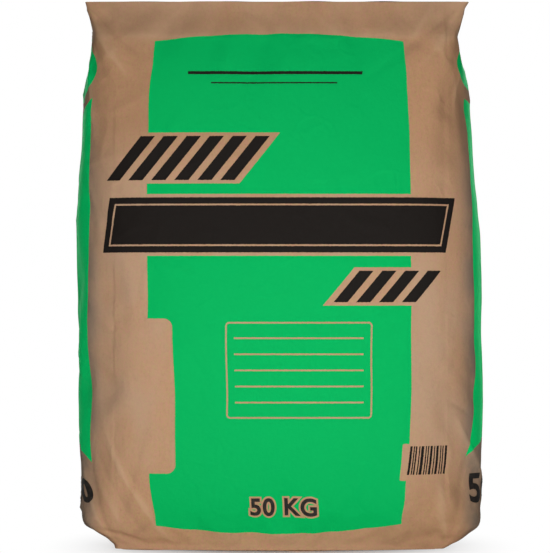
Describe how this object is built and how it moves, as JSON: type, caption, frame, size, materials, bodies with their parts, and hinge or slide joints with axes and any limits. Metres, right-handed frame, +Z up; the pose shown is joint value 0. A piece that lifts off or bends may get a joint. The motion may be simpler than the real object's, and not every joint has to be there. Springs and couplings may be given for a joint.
{
  "type": "cement bag",
  "caption": "Full upright paper sack of cement with folded and pasted block ends, cover sheets and a filling valve at one top corner.",
  "frame": {"origin": "on the floor under the middle of the sack's bounding box", "axes": "+Z up along the sack, +X along its width, the printed front face looks towards -Y"},
  "size_m": [0.422, 0.1602, 0.563],
  "materials": {
    "sack_paper": "brown kraft sack paper, matt, printed with a flat green field and black bars",
    "cover_sheet_paper": "brown kraft paper strip, matt, pasted down",
    "sleeve_paper": "lighter brown kraft paper, matt, dusted with cement at the mouth"
  },
  "bodies": {
    "root": {"sack": "sack_paper", "bottom_cover_sheet": "cover_sheet_paper", "top_cover_sheet": "cover_sheet_paper", "valve_sleeve": "sleeve_paper"}
  },
  "joints": []
}
